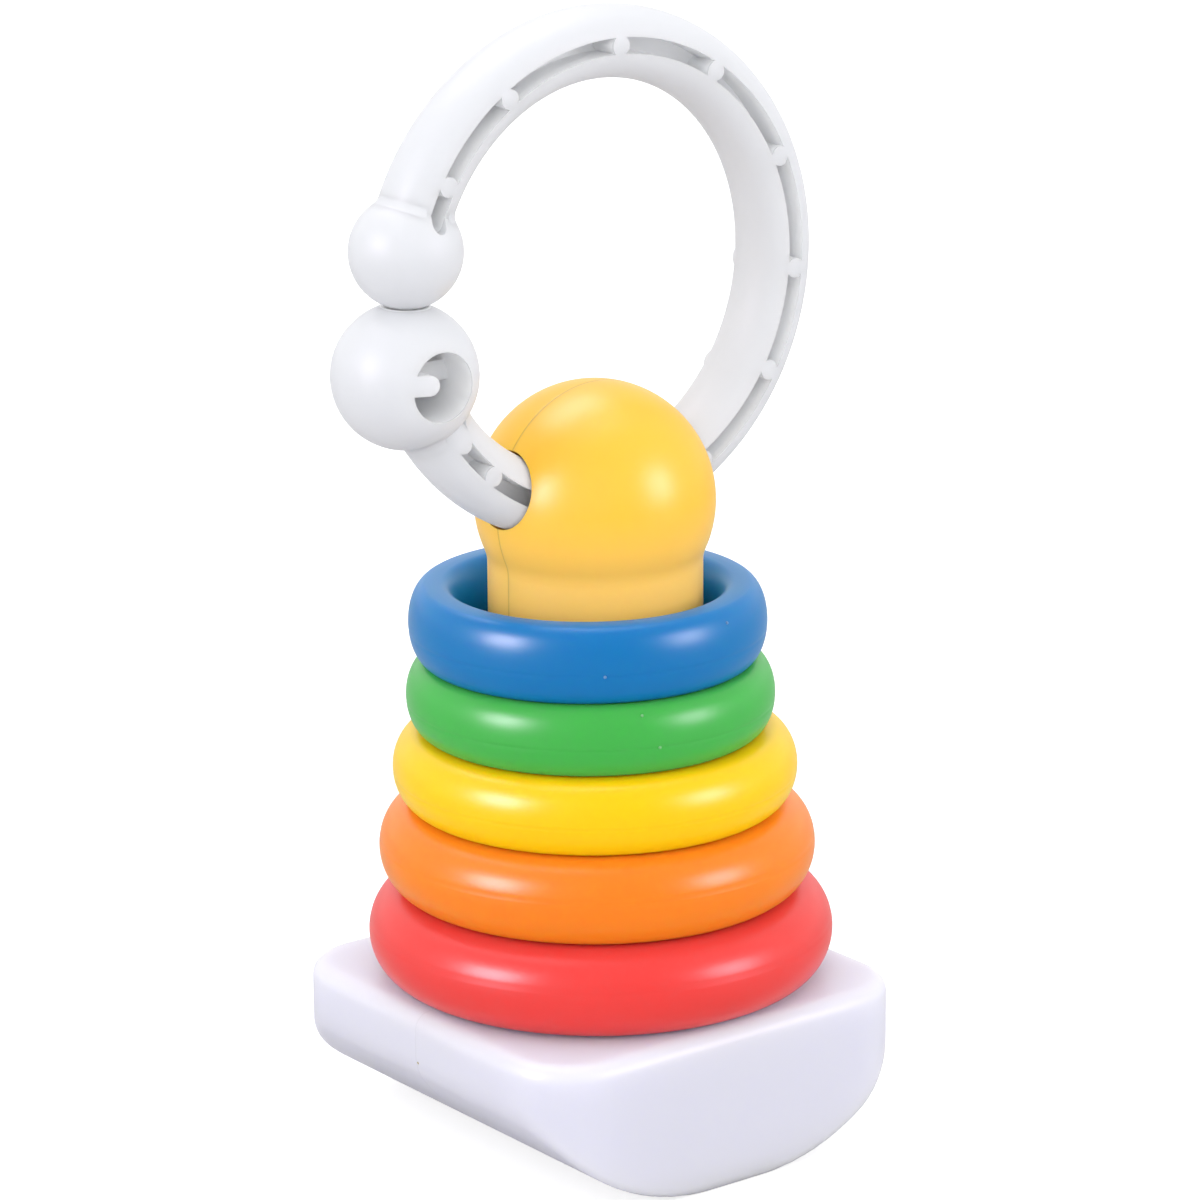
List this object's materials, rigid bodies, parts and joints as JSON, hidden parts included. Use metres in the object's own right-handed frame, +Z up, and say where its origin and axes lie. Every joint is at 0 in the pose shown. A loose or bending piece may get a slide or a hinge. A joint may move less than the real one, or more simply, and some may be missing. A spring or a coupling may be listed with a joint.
{
  "type": "stacking ring toy",
  "caption": "Baby stacking toy: coloured rings loose on a ball-topped post, on a white block with a rounded underside, with a C-shaped clip ring threaded through the ball.",
  "frame": {"origin": "on the post's axis, at the flat that the toy stands on", "axes": "+Z up along the post; -Y is the front, the face that shows the rounded profile of the base; the clip ring lies in the X-Z plane with its mouth on the -X side"},
  "size_m": [0.0789, 0.066, 0.1617],
  "materials": {
    "white_plastic": "glossy moulded",
    "post_yellow": "glossy moulded",
    "red_plastic": "glossy moulded",
    "orange_plastic": "glossy moulded",
    "yellow_plastic": "glossy moulded",
    "green_plastic": "glossy moulded",
    "blue_plastic": "glossy moulded"
  },
  "bodies": {
    "base": {"base_front_half": "white_plastic", "base_rear_half": "white_plastic", "post_front_half": "post_yellow", "post_rear_half": "post_yellow", "knob_front_half": "post_yellow", "knob_rear_half": "post_yellow"},
    "red_ring": {"red_ring_lower": "red_plastic", "red_ring_upper": "red_plastic"},
    "orange_ring": {"orange_ring_lower": "orange_plastic", "orange_ring_upper": "orange_plastic"},
    "yellow_ring": {"yellow_ring_lower": "yellow_plastic", "yellow_ring_upper": "yellow_plastic"},
    "green_ring": {"green_ring_lower": "green_plastic", "green_ring_upper": "green_plastic"},
    "blue_ring": {"blue_ring_lower": "blue_plastic", "blue_ring_upper": "blue_plastic"},
    "clip": {"link_ring": "white_plastic"}
  },
  "joints": [
    {"name": "red_ring_lift", "type": "slide", "parent": "base", "child": "red_ring", "axis": [0, 0, 1], "range_m": [0, 0.0021]},
    {"name": "orange_ring_lift", "type": "slide", "parent": "red_ring", "child": "orange_ring", "axis": [0, 0, 1], "range_m": [0, 0.0021]},
    {"name": "yellow_ring_lift", "type": "slide", "parent": "orange_ring", "child": "yellow_ring", "axis": [0, 0, 1], "range_m": [0, 0.0021]},
    {"name": "green_ring_lift", "type": "slide", "parent": "yellow_ring", "child": "green_ring", "axis": [0, 0, 1], "range_m": [0, 0.0021]},
    {"name": "blue_ring_lift", "type": "slide", "parent": "green_ring", "child": "blue_ring", "axis": [0, 0, 1], "range_m": [0, 0.0021]},
    {"name": "clip_turn", "type": "hinge", "parent": "base", "child": "clip", "pos_m": [-0.0004, 0, 0.1245], "axis": [0, -1, 0], "range_deg": [-211, 23]}
  ]
}
